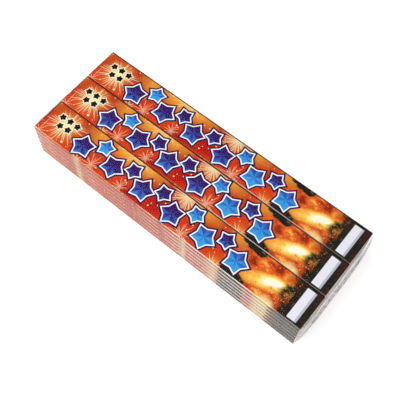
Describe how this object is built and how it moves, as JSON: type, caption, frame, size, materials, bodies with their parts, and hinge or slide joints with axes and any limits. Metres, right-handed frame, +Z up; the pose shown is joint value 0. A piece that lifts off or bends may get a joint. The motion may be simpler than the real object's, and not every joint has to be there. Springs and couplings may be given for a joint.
{
  "type": "sparkler carton pack",
  "caption": "Shrink-wrapped brick of long flat sparkler cartons in columns and layers, with sparklers inside; middle cartons draw out through the film's open ends and their tuck flaps fold open.",
  "frame": {"origin": "middle of the film's flat underside", "axes": "+X along the sparklers towards the tuck ends, +Y from the front column to the back column, +Z up"},
  "size_m": [0.3612, 0.1314, 0.0544],
  "materials": {
    "printed_card": "gloss",
    "clear_film": "gloss",
    "steel_wire": "satin",
    "spark_coat": "matte"
  },
  "bodies": {
    "pack": {"film_upper": "clear_film", "film_lower": "clear_film", "carton_front_1": "printed_card", "carton_front_2": "printed_card", "carton_front_3": "printed_card", "carton_front_4": "printed_card", "carton_front_5": "printed_card", "carton_front_6": "printed_card", "flaps_front": "printed_card", "dust_flaps_front": "printed_card", "wires_front": "steel_wire", "coats_front": "spark_coat", "carton_middle_1": "printed_card", "carton_middle_6": "printed_card", "flaps_middle": "printed_card", "dust_flaps_middle": "printed_card", "wires_middle": "steel_wire", "coats_middle": "spark_coat", "carton_back_1": "printed_card", "carton_back_2": "printed_card", "carton_back_3": "printed_card", "carton_back_4": "printed_card", "carton_back_5": "printed_card", "carton_back_6": "printed_card", "flaps_back": "printed_card", "dust_flaps_back": "printed_card", "wires_back": "steel_wire", "coats_back": "spark_coat"},
    "carton_middle_2": {"carton_middle_2": "printed_card", "wires_middle_2": "steel_wire", "coats_middle_2": "spark_coat"},
    "flap_middle_2": {"flap_middle_2": "printed_card"},
    "dust_near_middle_2": {"dust_near_middle_2": "printed_card"},
    "dust_far_middle_2": {"dust_far_middle_2": "printed_card"},
    "carton_middle_3": {"carton_middle_3": "printed_card", "wires_middle_3": "steel_wire", "coats_middle_3": "spark_coat"},
    "flap_middle_3": {"flap_middle_3": "printed_card"},
    "dust_near_middle_3": {"dust_near_middle_3": "printed_card"},
    "dust_far_middle_3": {"dust_far_middle_3": "printed_card"},
    "carton_middle_4": {"carton_middle_4": "printed_card", "wires_middle_4": "steel_wire", "coats_middle_4": "spark_coat"},
    "flap_middle_4": {"flap_middle_4": "printed_card"},
    "dust_near_middle_4": {"dust_near_middle_4": "printed_card"},
    "dust_far_middle_4": {"dust_far_middle_4": "printed_card"},
    "carton_middle_5": {"carton_middle_5": "printed_card", "wires_middle_5": "steel_wire", "coats_middle_5": "spark_coat"},
    "flap_middle_5": {"flap_middle_5": "printed_card"},
    "dust_near_middle_5": {"dust_near_middle_5": "printed_card"},
    "dust_far_middle_5": {"dust_far_middle_5": "printed_card"}
  },
  "joints": [
    {"name": "carton_middle_2_draw", "type": "slide", "parent": "pack", "child": "carton_middle_2", "axis": [1, 0, 0], "range_m": [-0.365, 0.365]},
    {"name": "flap_middle_2_fold", "type": "hinge", "parent": "carton_middle_2", "child": "flap_middle_2", "pos_m": [0.1797, 0, 0.00928], "axis": [0, 1, 0], "range_deg": [0, 90]},
    {"name": "dust_near_middle_2_fold", "type": "hinge", "parent": "carton_middle_2", "child": "dust_near_middle_2", "pos_m": [0.1792, -0.0212, 0.00928], "axis": [0, 0, -1], "range_deg": [0, 27]},
    {"name": "dust_far_middle_2_fold", "type": "hinge", "parent": "carton_middle_2", "child": "dust_far_middle_2", "pos_m": [0.1792, 0.0212, 0.00928], "axis": [0, 0, 1], "range_deg": [0, 27]},
    {"name": "carton_middle_3_draw", "type": "slide", "parent": "pack", "child": "carton_middle_3", "axis": [1, 0, 0], "range_m": [-0.365, 0.365]},
    {"name": "flap_middle_3_fold", "type": "hinge", "parent": "carton_middle_3", "child": "flap_middle_3", "pos_m": [0.1797, 0, 0.01828], "axis": [0, 1, 0], "range_deg": [0, 90]},
    {"name": "dust_near_middle_3_fold", "type": "hinge", "parent": "carton_middle_3", "child": "dust_near_middle_3", "pos_m": [0.1792, -0.0212, 0.01828], "axis": [0, 0, -1], "range_deg": [0, 27]},
    {"name": "dust_far_middle_3_fold", "type": "hinge", "parent": "carton_middle_3", "child": "dust_far_middle_3", "pos_m": [0.1792, 0.0212, 0.01828], "axis": [0, 0, 1], "range_deg": [0, 27]},
    {"name": "carton_middle_4_draw", "type": "slide", "parent": "pack", "child": "carton_middle_4", "axis": [1, 0, 0], "range_m": [-0.365, 0.365]},
    {"name": "flap_middle_4_fold", "type": "hinge", "parent": "carton_middle_4", "child": "flap_middle_4", "pos_m": [0.1797, 0, 0.02728], "axis": [0, 1, 0], "range_deg": [0, 90]},
    {"name": "dust_near_middle_4_fold", "type": "hinge", "parent": "carton_middle_4", "child": "dust_near_middle_4", "pos_m": [0.1792, -0.0212, 0.02728], "axis": [0, 0, -1], "range_deg": [0, 27]},
    {"name": "dust_far_middle_4_fold", "type": "hinge", "parent": "carton_middle_4", "child": "dust_far_middle_4", "pos_m": [0.1792, 0.0212, 0.02728], "axis": [0, 0, 1], "range_deg": [0, 27]},
    {"name": "carton_middle_5_draw", "type": "slide", "parent": "pack", "child": "carton_middle_5", "axis": [1, 0, 0], "range_m": [-0.365, 0.365]},
    {"name": "flap_middle_5_fold", "type": "hinge", "parent": "carton_middle_5", "child": "flap_middle_5", "pos_m": [0.1797, 0, 0.03628], "axis": [0, 1, 0], "range_deg": [0, 90]},
    {"name": "dust_near_middle_5_fold", "type": "hinge", "parent": "carton_middle_5", "child": "dust_near_middle_5", "pos_m": [0.1792, -0.0212, 0.03628], "axis": [0, 0, -1], "range_deg": [0, 27]},
    {"name": "dust_far_middle_5_fold", "type": "hinge", "parent": "carton_middle_5", "child": "dust_far_middle_5", "pos_m": [0.1792, 0.0212, 0.03628], "axis": [0, 0, 1], "range_deg": [0, 27]}
  ],
  "couplings": [
    {"joint": "dust_near_middle_2_fold", "follows": "flap_middle_2_fold", "ratio": 0.3},
    {"joint": "dust_far_middle_2_fold", "follows": "flap_middle_2_fold", "ratio": 0.3},
    {"joint": "dust_near_middle_3_fold", "follows": "flap_middle_3_fold", "ratio": 0.3},
    {"joint": "dust_far_middle_3_fold", "follows": "flap_middle_3_fold", "ratio": 0.3},
    {"joint": "dust_near_middle_4_fold", "follows": "flap_middle_4_fold", "ratio": 0.3},
    {"joint": "dust_far_middle_4_fold", "follows": "flap_middle_4_fold", "ratio": 0.3},
    {"joint": "dust_near_middle_5_fold", "follows": "flap_middle_5_fold", "ratio": 0.3},
    {"joint": "dust_far_middle_5_fold", "follows": "flap_middle_5_fold", "ratio": 0.3}
  ]
}
